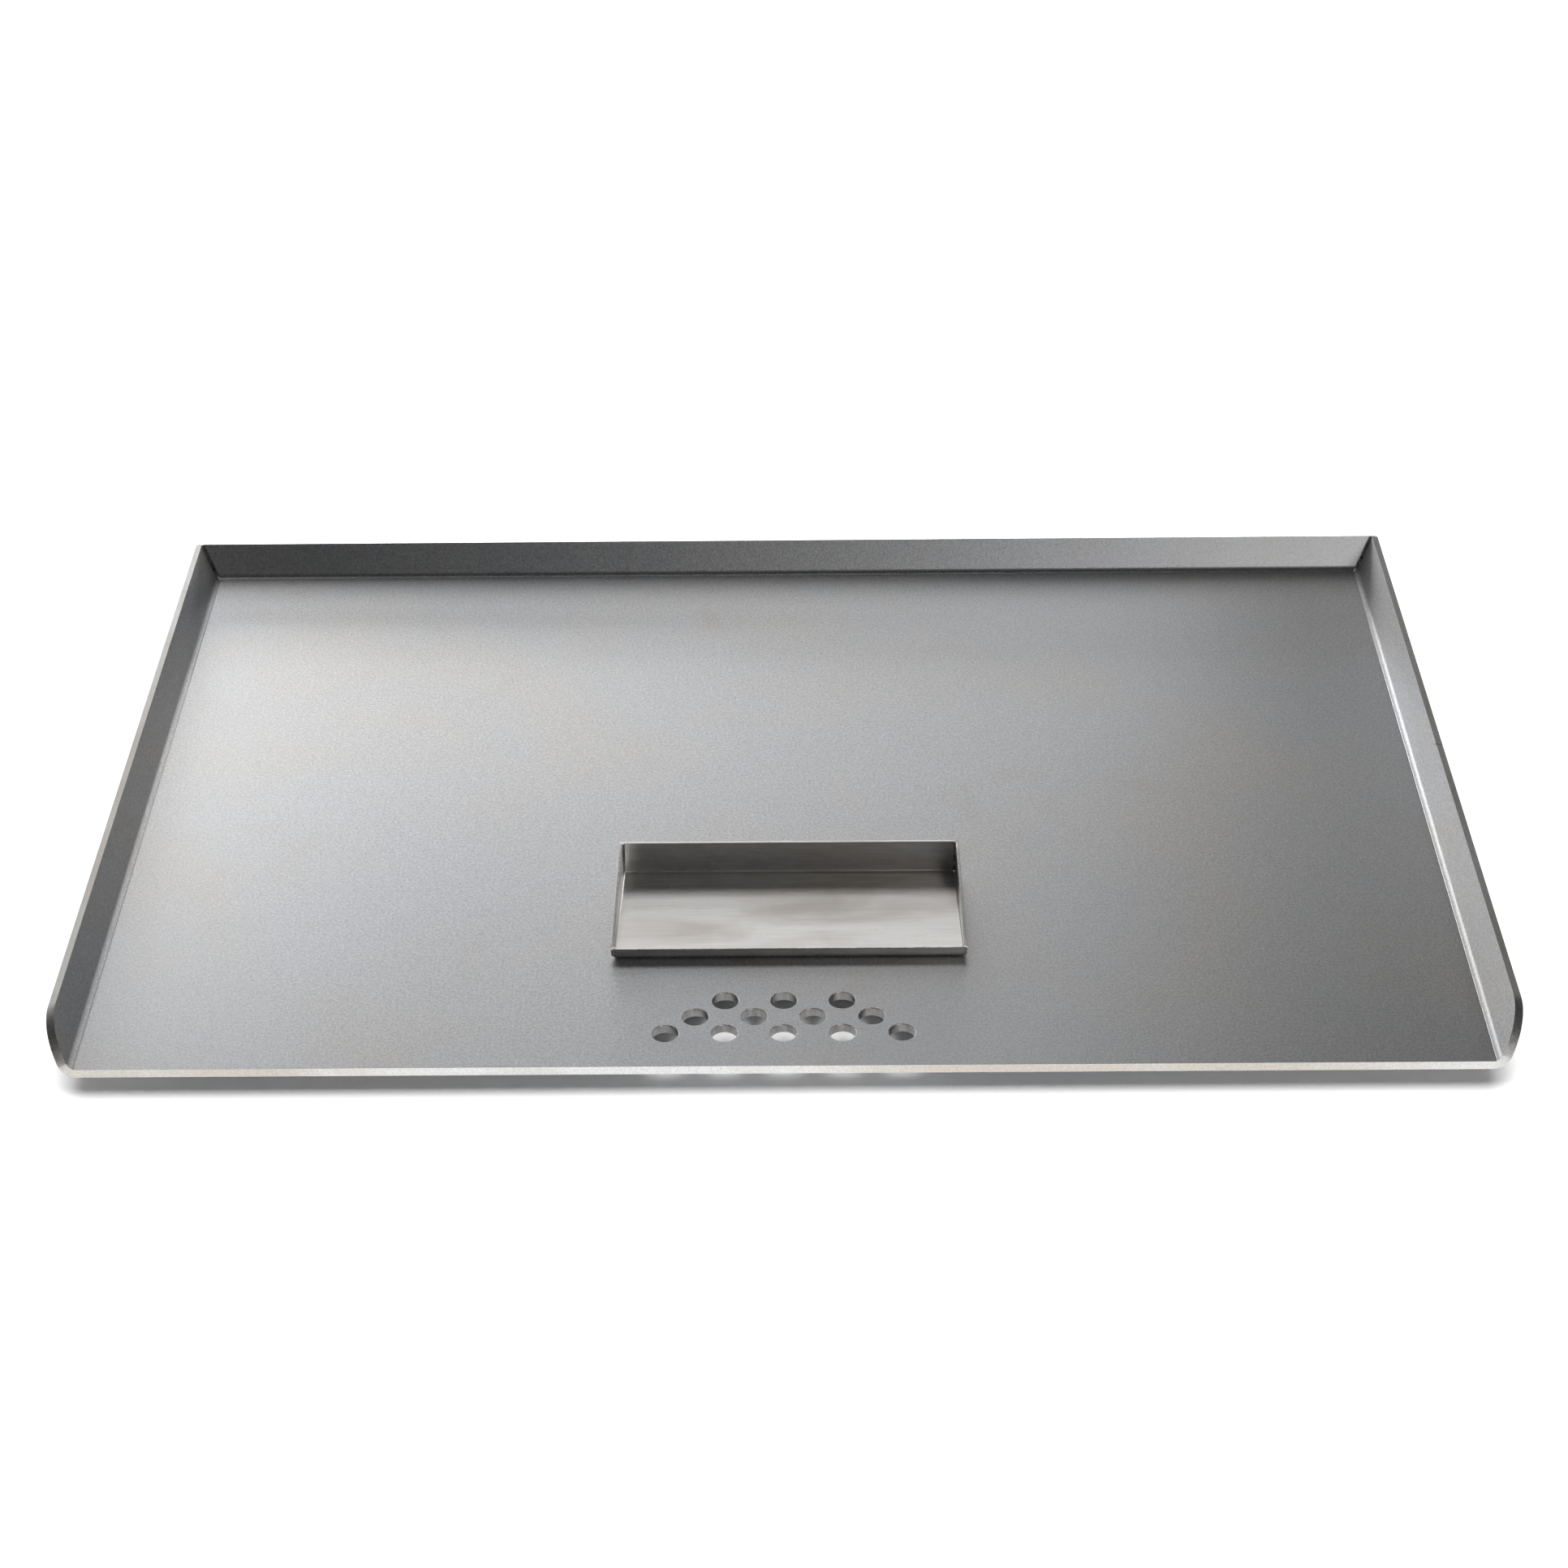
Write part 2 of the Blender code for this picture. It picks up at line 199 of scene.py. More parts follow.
def cut_edge_material():
    """Laser-cut edge: striations through the sheet, speckled, with a thin warm oxide."""
    material, nodes, shader, place = start_material("cut_edge_steel")
    streak = nodes.noise(nodes.stretched(place, (900.0, 900.0, 90.0)), 1.0, 2.0, 0.6)
    speck = nodes.noise(place, 950.0, 3.0, 0.65)
    patch = nodes.noise(place, 10.0, 3.0, 0.5)
    tone = nodes.mix(nodes.spread(patch, 0.42, 0.60), (0.50, 0.50, 0.495), (0.41, 0.385, 0.35))
    colour = nodes.mix(1.0, tone, nodes.spread(speck, NOISE_LOW, NOISE_HIGH, 0.78, 1.18), "MULTIPLY")
    height = nodes.math("ADD", streak, speck)
    plug(nodes, shader, Base_Color=colour, Roughness=nodes.spread(speck, NOISE_LOW, NOISE_HIGH, 0.36, 0.52),
         Normal=nodes.bump(height, 0.00007))
    return material


def bore_material():
    """The drain holes' cut walls: dull, with fine streaks through the sheet."""
    material, nodes, shader, place = start_material("bore_steel")
    streak = nodes.noise(nodes.stretched(place, (1500.0, 1500.0, 120.0)), 1.0, 2.0, 0.6)
    colour = nodes.mix(nodes.spread(streak, 0.35, 0.65), (0.33, 0.32, 0.31), (0.47, 0.46, 0.445))
    plug(nodes, shader, Base_Color=colour, Roughness=nodes.spread(streak, NOISE_LOW, NOISE_HIGH, 0.32, 0.44),
         Normal=nodes.bump(streak, 0.00005))
    return material


def chamfer_material():
    """The countersink round each drain hole: bright cut metal, its colour made paler than the steel's own as
    a painted highlight.
    """
    material, nodes, shader, place = start_material("chamfer_steel")
    fine = nodes.noise(place, 1100.0, 2.0, 0.5)
    # Pale colour: partly the countersink's bright cut metal, partly a painted highlight
    colour = nodes.mix(nodes.spread(fine, 0.35, 0.65), (0.60, 0.60, 0.60), (0.76, 0.76, 0.76))
    plug(nodes, shader, Base_Color=colour, Roughness=nodes.spread(fine, NOISE_LOW, NOISE_HIGH, 0.24, 0.36),
         Normal=nodes.bump(fine, 0.00003))
    return material


def bar_material():
    """Hot-rolled bar: blue-grey mill scale, worn through to steel in places."""
    material, nodes, shader, place = start_material("bar_steel")
    scale = nodes.noise(nodes.stretched(place, (30.0, 30.0, 60.0)), 1.0, 5.0, 0.6, 0.5)
    grain = nodes.noise(place, 700.0, 3.0, 0.6)
    worn = nodes.spread(scale, 0.53, 0.62)
    tone = nodes.mix(worn, (0.125, 0.132, 0.148), (0.34, 0.335, 0.33))
    colour = nodes.mix(1.0, tone, nodes.spread(grain, NOISE_LOW, NOISE_HIGH, 0.8, 1.15), "MULTIPLY")
    height = nodes.math("ADD", grain, nodes.math("MULTIPLY", worn, -0.6))
    plug(nodes, shader, Base_Color=colour, Roughness=nodes.spread(scale, NOISE_LOW, NOISE_HIGH, 0.42, 0.62),
         Normal=nodes.bump(height, 0.00008))
    return material


def weld_material(name, cool, hot, tint):
    """Weld metal with heat tint in patches and a few dark slag spots."""
    material, nodes, shader, place = start_material(name)
    patch = nodes.noise(place, 110.0, 3.0, 0.6, 0.4)
    fine = nodes.noise(place, 1000.0, 3.0, 0.6)
    spot = nodes.noise(place, 420.0, 1.0, 0.5)
    tone = nodes.mix(nodes.spread(patch, 0.46, 0.58), cool, hot)
    tone = nodes.mix(nodes.spread(patch, 0.60, 0.70), tone, tint)
    tone = nodes.mix(nodes.spread(spot, 0.64, 0.70), tone, (0.05, 0.045, 0.045))
    colour = nodes.mix(1.0, tone, nodes.spread(fine, NOISE_LOW, NOISE_HIGH, 0.85, 1.15), "MULTIPLY")
    plug(nodes, shader, Base_Color=colour, Roughness=nodes.spread(fine, NOISE_LOW, NOISE_HIGH, 0.30, 0.48),
         Normal=nodes.bump(fine, 0.00006))
    return material


def tray_material():
    """Stainless sheet brushed along its length, stained, and tinted by heat at its welds."""
    material, nodes, shader, place = start_material("tray_steel")
    brush = nodes.noise(nodes.stretched(place, (45.0, 1500.0, 1500.0)), 1.0, 3.0, 0.6)
    coarse = nodes.noise(nodes.stretched(place, (22.0, 420.0, 420.0)), 1.0, 2.0, 0.6)
    stain = nodes.noise(nodes.stretched(place, (13.0, 30.0, 30.0)), 1.0, 4.0, 0.55, 0.5)
    tone = nodes.mix(nodes.spread(stain, 0.48, 0.68), (0.80, 0.785, 0.765), (0.66, 0.625, 0.59))
    middle = (TRAY_LOW + TRAY_HIGH) / 2
    half = (TRAY_HIGH - TRAY_LOW) / 2
    axes = nodes.add("ShaderNodeSeparateXYZ", {0: place})
    beside = nodes.math("SUBTRACT", half.x,
                        nodes.math("ABSOLUTE", nodes.math("SUBTRACT", axes.outputs["X"], middle.x)))
    behind = nodes.math("SUBTRACT", half.y,
                        nodes.math("ABSOLUTE", nodes.math("SUBTRACT", axes.outputs["Y"], middle.y)))
    reach = nodes.add("ShaderNodeCombineXYZ", {"X": beside, "Y": behind})
    distance = nodes.add("ShaderNodeVectorMath", {0: reach.outputs[0]},
                         operation="LENGTH").outputs["Value"]
    wavering = nodes.math("MULTIPLY_ADD", nodes.noise(place, 70.0, 2.0), 0.006)
    seam = nodes.math("ADD", distance, wavering)
    tone = nodes.mix(nodes.spread(seam, *BLUE_TINT_REACH), tone, (0.42, 0.36, 0.42))
    tone = nodes.mix(nodes.spread(seam, *BROWN_TINT_REACH), tone, (0.50, 0.27, 0.17))
    colour = nodes.mix(1.0, tone, nodes.spread(coarse, NOISE_LOW, NOISE_HIGH, 0.96, 1.04), "MULTIPLY")
    colour = nodes.mix(1.0, colour, nodes.spread(brush, NOISE_LOW, NOISE_HIGH, 0.93, 1.07), "MULTIPLY")
    roughness = nodes.math("ADD", nodes.spread(brush, NOISE_LOW, NOISE_HIGH, 0.26, 0.31),
                           nodes.spread(stain, 0.4, 0.7, 0.0, 0.05))
    shader.inputs["Anisotropic"].default_value = 0.5
    along = nodes.add("ShaderNodeCombineXYZ", {"Y": 1.0, "Z": 0.04})
    plug(nodes, shader, Base_Color=colour, Roughness=roughness, Tangent=along.outputs[0],
         Normal=nodes.bump(nodes.math("ADD", brush, coarse), 0.000006))
    return material


# ---------------------------------------------------------------- mesh tools

def flange_point(length, radius, sheet, bend):
    """Inner and outer (out, up) points of a folded wall, by length up from the bend's start."""
    angle = min(length / radius, bend)
    straight = max(length - radius * bend, 0.0)
    out = radius * math.sin(angle) + straight * math.cos(bend)
    up = radius * (1 - math.cos(angle)) + straight * math.sin(bend)
    return (out, up), (out + sheet * math.sin(angle), up - sheet * math.cos(angle))


def folded_sheet(walls):
    """One closed sheet with walls folded up. Each wall is a run of (inner, outer) columns.

    Its cut edges take the second material.
    """
    bm = bmesh.new()

    def face(*points):
        return bm.faces.new([bm.verts.new(point) for point in points])

    def cut_face(*points):
        face(*points).material_index = 1

    floor = []
    underside = []
    for wall, following in zip(walls, walls[1:] + walls[:1]):
        for (in_a, out_a), (in_b, out_b) in zip(wall, wall[1:]):
            for low in range(len(in_a) - 1):
                high = low + 1
                face(in_a[low], in_b[low], in_b[high], in_a[high])
                face(out_a[low], out_a[high], out_b[high], out_b[low])
            cut_face(in_a[-1], in_b[-1], out_b[-1], out_a[-1])
        for inner, outer in (wall[0], wall[-1]):
            for low in range(len(inner) - 1):
                high = low + 1
                cut_face(inner[low], inner[high], outer[high], outer[low])
        for inner, outer in wall[:-1]:
            floor.append(inner[0])
            underside.append(outer[0])
        last, first = wall[-1], following[0]
        if (last[0][0] - first[0][0]).length > MEETING_CORNER:
            floor.append(last[0][0])
            underside.append(last[1][0])
            cut_face(last[0][0], first[0][0], first[1][0], last[1][0])
    face(*floor)
    face(*underside)
    bmesh.ops.remove_doubles(bm, verts=bm.verts, dist=SAME_POINT)
    bmesh.ops.recalc_face_normals(bm, faces=bm.faces)
    return bm


def new_object(name, bm, *materials):
    mesh = bpy.data.meshes.new(name)
    bm.to_mesh(mesh)
    bm.free()
    for material in materials:
        mesh.materials.append(material)
    piece = bpy.data.objects.new(name, mesh)
    bpy.context.scene.collection.objects.link(piece)
    return piece


def settle(piece, sharp=35.0):
    """Shade the piece smooth, its flat faces staying flat, and keep the result."""
    piece.data.shade_smooth()
    piece.data.set_sharp_from_angle(angle=math.radians(sharp))
    weighted = piece.modifiers.new("weighted", "WEIGHTED_NORMAL")
    weighted.keep_sharp = True
    weighted.weight = 100
    bake_modifiers(piece)
    piece.data.name = piece.name


def finish_piece(piece, body, slot, *nodes):
    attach(piece, body)
    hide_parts(*nodes)


# ---------------------------------------------------------------- griddle plate

BEND_STEPS = 14
WALL_END_STEPS = 18

# The corner welds start at this point of wall_lengths(), most of the way round the bend
WELD_START_RING = 13
BEND = math.pi / 2 - WALL_FLARE
ARC = BEND_RADIUS * BEND
WALL_LENGTH = ARC + (WALL_RISE - BEND_RADIUS * (1 - math.cos(BEND))) / math.sin(BEND)
REACH = flange_point(WALL_LENGTH, BEND_RADIUS, SHEET, BEND)[1][0]

# The softer bend starts further in, so that the walls stay where they are
SOFTENING = (SOFT_BEND_RADIUS - BEND_RADIUS) * math.tan(BEND / 2)
SOFT_ARC = SOFT_BEND_RADIUS * BEND
SOFT_LENGTH = SOFT_ARC + (WALL_RISE - SOFT_BEND_RADIUS * (1 - math.cos(BEND))) / math.sin(BEND)
REAR_BEND = PLATE_HIGH.y - REACH - SOFTENING
SIDE_BEND = PLATE_HIGH.x - REACH - SOFTENING


def wall_lengths():
    """Lengths up the wall's inner face: the crease, the bend, then the rounded end's steps."""
    crease = [CREASE_PLACE + CREASE_WIDTH * part for part in (-0.5, -0.2, 0.0, 0.2, 0.5)]
    bend = [SOFT_ARC * step / BEND_STEPS for step in range(BEND_STEPS + 1)]
    clear = [length for length in bend if abs(length - CREASE_PLACE) > 0.6 * CREASE_WIDTH]
    lengths = sorted(crease + clear)
    last_angle = math.acos(1 - (SOFT_LENGTH - SOFT_ARC) / WALL_END_RADIUS)
    for step in range(1, WALL_END_STEPS + 1):
        angle = last_angle * (1 - step / WALL_END_STEPS)
        lengths.append(SOFT_LENGTH - WALL_END_RADIUS * (1 - math.cos(angle)))
    return lengths


def wall_end_setback(length):
    """How far a side wall's rounded front end stands behind the front edge."""
    lowest = WALL_END_RADIUS - SOFT_LENGTH
    here = lowest + length
    return math.sqrt(WALL_END_RADIUS ** 2 - lowest ** 2) - math.sqrt(WALL_END_RADIUS ** 2 - here ** 2)


def plate_column(side, place):
    """(inner, outer) points up one wall end of the plate."""
    skins = ([], [])
    for length in wall_lengths():
        gap = CORNER_GAP * min(length / SOFT_ARC, 1.0)
        inner, outer = flange_point(length, SOFT_BEND_RADIUS, SHEET, BEND)
        pressed = max(0.0, 1 - abs(length - CREASE_PLACE) / (CREASE_WIDTH / 2))
        tilt = length / SOFT_BEND_RADIUS
        inner = (inner[0] + CREASE_DEPTH * pressed * math.sin(tilt),
                 inner[1] - CREASE_DEPTH * pressed * math.cos(tilt))
        for skin, (out, up) in zip(skins, (inner, outer)):
            if place == "front":
                x, y = SIDE_BEND + out, PLATE_LOW.y + wall_end_setback(length)
            elif place == "side":
                x, y = SIDE_BEND + out, REAR_BEND + out - gap
            else:
                x, y = SIDE_BEND + out - gap, REAR_BEND + out
            skin.append(Vector((side * x, y, PLATE_TOP + up)))
    return skins


def hole_centres():
    """The drain holes' centres, from the record's openings."""
    centres = []
    for opening in frame["record"]["physics"]["openings"]:
        if opening["name"].startswith("drain_hole"):
            low, high = (Vector(corner) for corner in opening["box_m"])
            middle = (low + high) / 2
            centres.append(Vector((middle.x, middle.y)))
    return centres


def lathe(bm, profile, slots, centre, sides):
    """A closed turned solid from (radius, height) points, bottom to top, a slot for each band."""
    rings = []
    for radius, height in profile:
        ring = []
        for step in range(sides):
            angle = 2 * math.pi * step / sides
            ring.append(bm.verts.new((centre.x + radius * math.cos(angle),
                                      centre.y + radius * math.sin(angle), height)))
        rings.append(ring)
    for low, high, slot in zip(rings, rings[1:], slots):
        for here in range(sides):
            after = (here + 1) % sides
            bm.faces.new((low[here], low[after], high[after], high[here])).material_index = slot
    bm.faces.new(rings[0][::-1])
    bm.faces.new(rings[-1])


def bake_modifiers(piece):
    """Make the piece's modifiers part of its mesh."""
    graph = bpy.context.evaluated_depsgraph_get()
    before = piece.data
    piece.data = bpy.data.meshes.new_from_object(piece.evaluated_get(graph))
    piece.modifiers.clear()
    bpy.data.meshes.remove(before)


def cut(piece, cutter):
    """Subtract cutter from piece, whose new faces take the cutter's materials."""
    modifier = piece.modifiers.new("cut", "BOOLEAN")
    modifier.operation = "DIFFERENCE"
    modifier.solver = "EXACT"
    modifier.material_mode = "TRANSFER"
    modifier.object = cutter
    bake_modifiers(piece)
    bpy.data.objects.remove(cutter)


def hole_cutter(bore, chamfer):
    bm = bmesh.new()
    radius = BORE_DIAMETER / 2
    bottom = PLATE_TOP - SHEET
    past = 1.0 * MM
    profile = ((radius + 0.5 * HOLE_CHAMFER + past, bottom - past),
               (radius, bottom + 0.5 * HOLE_CHAMFER), (radius, PLATE_TOP - HOLE_CHAMFER),
               (radius + 0.35 * HOLE_CHAMFER, PLATE_TOP - 0.45 * HOLE_CHAMFER),
               (radius + HOLE_CHAMFER, PLATE_TOP), (radius + HOLE_CHAMFER + past, PLATE_TOP + 0.5 * past))
    for centre in hole_centres():
        lathe(bm, profile, (1, 0, 1, 1, 1), centre, 72)
    return new_object("hole_cutter", bm, bore, chamfer)


def notch_cutter(edge):
    """A narrow slit across the right wall's cut edge."""
    bm = bmesh.new()
    inner, outer = flange_point(SOFT_LENGTH, SOFT_BEND_RADIUS, SHEET, BEND)
    middle = Vector((SIDE_BEND + (inner[0] + outer[0]) / 2, PLATE_LOW.y + NOTCH_PLACE,
                     PLATE_TOP + (inner[1] + outer[1]) / 2))
    size = Matrix.Diagonal((3 * SHEET, NOTCH_WIDTH, 2 * NOTCH_DEPTH, 1.0))
    lean = Matrix.Rotation(WALL_FLARE, 4, "Y")
    bmesh.ops.create_cube(bm, size=1.0, matrix=Matrix.Translation(middle) @ lean @ size)
    return new_object("notch_cutter", bm, edge)


def build_plate(steel, edge, bore, chamfer):
    left = [plate_column(-1, "front"), plate_column(-1, "side")]
    rear = [plate_column(-1, "rear"), plate_column(1, "rear")]
    right = [plate_column(1, "side"), plate_column(1, "front")]
    plate = new_object("griddle_plate_sheet", folded_sheet([left, rear, right]), steel, edge)
    cut(plate, notch_cutter(edge))
    ease = plate.modifiers.new("ease", "BEVEL")
    ease.width = EDGE_EASE
    ease.segments = 2
    ease.limit_method = "ANGLE"
    ease.angle_limit = SHARP_EDGE
    bake_modifiers(plate)
    cut(plate, hole_cutter(bore, chamfer))
    settle(plate)
    finish_piece(plate, "griddle", "plate_steel", "griddle_plate")
    return left, rear, right


# ---------------------------------------------------------------- welds

def ripple(along, across, pitch):
    """Height of a weld's overlapping ripples, from -1 to 1."""
    phase = (along - 0.35 * pitch * (1 - across * across)) / pitch
    return 1 - 2 * abs(phase - math.floor(phase) - 0.5) * 2


def closed_loft(rings):
    bm = bmesh.new()
    loops = [[bm.verts.new(point) for point in ring] for ring in rings]
    for low, high in zip(loops, loops[1:]):
        for here in range(len(low)):
            after = (here + 1) % len(low)
            bm.faces.new((low[here], low[after], high[after], high[here]))
    bm.faces.new(loops[0])
    bm.faces.new(loops[-1])
    bmesh.ops.recalc_face_normals(bm, faces=bm.faces)
    return bm


def seam_bead(first, second, clearance, crowns, steps, arc_steps=8, pitch=1.6 * MM, seed=1):
    """The weld between two wall ends, finely divided, its outer face a rippled crown."""
    wobble = random.Random(seed)
    rings = []
    count = len(first[0])
    travelled = 0.0
    previous = None
    for step in range(steps + 1):
        spot = step / steps * (count - 1)
        low = min(int(spot), count - 2)
        share = spot - low
        in_a, out_a, in_b, out_b = (column[low].lerp(column[low + 1], share)
                                    for column in (*first, *second))
        crown = crowns[0] + (crowns[1] - crowns[0]) * (step / steps) ** 6
        across_in = (in_b - in_a).normalized() * clearance
        across_out = (out_b - out_a).normalized() * clearance
        outward = ((out_a + out_b) / 2 - (in_a + in_b) / 2).normalized()
        start, end = out_b - across_out, out_a + across_out
        if previous is not None:
            travelled += (start - previous).length
        previous = start.copy()
        ring = [in_a + across_in, (in_a + in_b) / 2 - outward * 0.12 * MM, in_b - across_in]
        for part in range(arc_steps + 1):
            turn = part / arc_steps
            across = 2 * turn - 1
            swell = crown * math.sin(math.pi * turn) ** 0.7
            swell *= 1 + 0.16 * ripple(travelled, across, pitch) + wobble.uniform(-0.05, 0.05)
            ring.append(start.lerp(end, turn) + outward * swell)
        rings.append(ring)
    return closed_loft(rings)


def build_plate_welds(walls, metal):
    left, rear, right = walls
    for name, before, after in (("plate_corner_weld_left", left[-1], rear[0]),
                                ("plate_corner_weld_right", rear[-1], right[0])):
        first = [column[WELD_START_RING:] for column in before]
        second = [column[WELD_START_RING:] for column in after]
        bead = seam_bead(first, second, 0.16 * MM, (0.7 * MM, 0.45 * MM), 110, 10, 1.3 * MM, 3)
        piece = new_object(name + "_bead", bead, metal)
        settle(piece, 60)
        finish_piece(piece, "griddle", "plate_weld", name)


def fillet_rings(length, leg, seed):
    """Rings of a rippled fillet weld along X, in the corner under y = 0 and z = 0."""
    wobble = random.Random(seed)
    sections = 90
    arc_steps = 12
    rings = []
    for step in range(sections + 1):
        along = step / sections * 2 - 1
        swell = max(1 - abs(along) ** 7, 0.0) ** 0.5
        size = leg * max(swell, 0.30) * (1 + 0.03 * math.sin(along * 9 + seed))
        ring = [Vector((along * length / 2, 0.0, 0.0))]
        for part in range(arc_steps + 1):
            share = part / arc_steps
            across = 2 * share - 1
            scale = ripple(along * length / 2, across, 1.9 * MM)
            rise = 0.55 * MM * swell * math.sin(math.pi * share)
            rise += 0.11 * MM * scale * swell * math.sin(math.pi * share) ** 0.5
            rise += wobble.uniform(-0.02, 0.02) * MM * math.sin(math.pi * share)
            y = size * (1 - share) + rise * 0.7
            z = -size * share - rise * 0.7
            ring.append(Vector((along * length / 2, y, z)))
        rings.append(ring)
    return rings


def build_fillets(metal):
    """A rippled bead in place of each stitch and joint weld, fitted to that node's own box."""
    for seed, name in enumerate(sorted(n for n in frame["nodes"] if n.startswith("brace"))):
        if "weld" not in name:
            continue
        low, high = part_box(name)
        middle = (low + high) / 2
        bar = "_".join(name.split("_")[:2])
        bar_low, bar_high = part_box(bar)
        bar_middle = (bar_low + bar_high) / 2
        size = high - low
        if "joint" in name:
            toward_x = -1 if middle.x > bar_middle.x else 1
            toward_y = 1 if name.endswith("rear") else -1
            leg = size.x
            corner = Vector((low.x if toward_x == -1 else high.x,
                             high.y if toward_y == 1 else low.y, middle.z))
            turn = (Matrix.Rotation(math.pi if toward_x == -1 else 0.0, 4, "Z")
                    @ Matrix.Rotation(math.pi / 2, 4, "Y"))
            length = size.z
        else:
            along_x = size.x > size.y
            leg = size.z
            length = max(size.x, size.y)
            if along_x:
                side = 1 if middle.y > bar_middle.y else -1
                corner = Vector((middle.x, low.y if side == 1 else high.y, high.z))
                angle = 0.0 if side == 1 else math.pi
            else:
                side = 1 if middle.x > bar_middle.x else -1
                corner = Vector((low.x if side == 1 else high.x, middle.y, high.z))
                angle = -math.pi / 2 if side == 1 else math.pi / 2
            turn = Matrix.Rotation(angle, 4, "Z")
        place = Matrix.Translation(corner) @ turn
        rings = [[place @ point for point in ring] for ring in fillet_rings(length, leg, seed)]
        piece = new_object(name + "_bead", closed_loft(rings), metal)
        settle(piece, 60)
        finish_piece(piece, "griddle", "stitch_weld", name)


# ---------------------------------------------------------------- tray

TRAY_ARC = TRAY_BEND_RADIUS * math.pi / 2
TRAY_BEND_STEPS = 8


def tray_column(x_side, y_side, wall_along_y):
    """(inner, outer) points up a tray wall.

    x_side and y_side run from -1 to 1 across the tray. On a corner each is -1 or 1.
    """
    reach = TRAY_BEND_RADIUS + TRAY_SHEET
    centre = (TRAY_LOW + TRAY_HIGH) / 2
    depth = (TRAY_HIGH.y - TRAY_LOW.y) / 2 - reach
    front_half = (TRAY_HIGH.x - TRAY_LOW.x) / 2 - reach
    rear_half = TRAY_REAR_WIDTH / 2 - reach
    rear_height = TRAY_HIGH.z - TRAY_LOW.z
    back = (y_side + 1) / 2
    half = front_half + (rear_half - front_half) * back
    height = TRAY_FRONT_HEIGHT + (rear_height - TRAY_FRONT_HEIGHT) * back
    corner = abs(x_side) == 1 and abs(y_side) == 1
    total = TRAY_ARC + height - reach
    lengths = [TRAY_ARC * step / TRAY_BEND_STEPS for step in range(TRAY_BEND_STEPS + 1)]
    lengths += [TRAY_ARC + (total - TRAY_ARC) * part for part in (0.4, 0.8, 1.0)]
    skins = ([], [])
    for length in lengths:
        gap = TRAY_CORNER_GAP * min(length / TRAY_ARC, 1.0) if corner else 0.0
        for skin, (out, up) in zip(skins, flange_point(length, TRAY_BEND_RADIUS, TRAY_SHEET,
                                                       math.pi / 2)):
            if wall_along_y:
                x = x_side * (half + out)
                y = y_side * (depth + out - gap) if corner else y_side * depth
            else:
                x = x_side * (half + out - gap) if corner else x_side * half
                y = y_side * (depth + out)
            skin.append(Vector((centre.x + x, centre.y + y, TRAY_LOW.z + TRAY_SHEET + up)))
    return skins


def roughen_top(columns, seed, rise):
    """Make a sheared top edge uneven."""
    uneven = random.Random(seed)
    for inner, outer in columns[1:-1]:
        inner[-1].z += uneven.uniform(-rise, rise * 0.4)
        outer[-1].z += uneven.uniform(-rise, rise * 0.4)


def build_tray(sheet, metal):
    side_steps = 24
    front_steps = 150
    rear_steps = 24

    def along(steps):
        return [2 * step / steps - 1 for step in range(steps + 1)]

    left = [tray_column(-1, y, True) for y in along(side_steps)]
    rear = [tray_column(x, 1, False) for x in along(rear_steps)]
    right = [tray_column(1, -y, True) for y in along(side_steps)]
    front = [tray_column(-x, -1, False) for x in along(front_steps)]
    roughen_top(front, 5, 0.16 * MM)
    roughen_top(rear, 6, 0.05 * MM)
    tray = new_object("grease_tray_sheet", folded_sheet([left, rear, right, front]), sheet)
    bevel = tray.modifiers.new("ease", "BEVEL")
    bevel.width = TRAY_EDGE_EASE
    bevel.segments = 1
    bevel.limit_method = "ANGLE"
    bevel.angle_limit = SHARP_EDGE
    settle(tray)
    finish_piece(tray, "tray", "tray_steel", "grease_tray")
    corners = {"tray_weld_rear_left": (left[-1], rear[0]), "tray_weld_rear_right": (rear[-1], right[0]),
               "tray_weld_front_right": (right[-1], front[0]),
               "tray_weld_front_left": (front[-1], left[0])}
    for seed, (name, (before, after)) in enumerate(corners.items()):
        first = [column[TRAY_BEND_STEPS - 2:] for column in before]
        second = [column[TRAY_BEND_STEPS - 2:] for column in after]
        tip = 1.5 * MM if "front" in name else 0.9 * MM
        bead = seam_bead(first, second, 0.05 * MM, (0.45 * MM, tip), 60, 8, 0.9 * MM, 11 + seed)
        piece = new_object(name + "_bead", bead, metal)
        settle(piece, 60)
        finish_piece(piece, "tray", "tray_weld", name)


# ---------------------------------------------------------------- studio

ROOM_LIGHT = 0.03
FLOOR_HALF_SIZE = 2.2

# Lights the floor only: the metal doesn't mirror it
WASH_PLACE = (0.0, 0.0, 2.4)
WASH_SIZE = 3.0
WASH = 6.0

# Name, place, width, height and radiance
SOFTBOXES = (
    ("back_strip", (-0.10, 1.70, 0.22), 1.1, 0.15, 9.0),
    ("back_left_strip", (-0.70, 1.70, 0.38), 1.3, 0.20, 7.0),
    ("behind_panel", (-0.10, 0.60, 0.30), 0.9, 0.25, 1.0),
    ("left_low_box", (-1.15, 0.55, 0.21), 0.7, 0.14, 3.5),
    ("left_back_panel", (-0.60, 0.60, 0.62), 0.5, 0.35, 2.0),
    ("right_back_panel", (0.65, 0.75, 0.50), 0.5, 0.40, 0.7),
    ("front_right_box", (0.80, -1.75, 0.72), 0.65, 0.50, 7.0),
    ("high_back_panel", (0.0, 0.75, 0.88), 0.7, 0.32, 1.5),
)


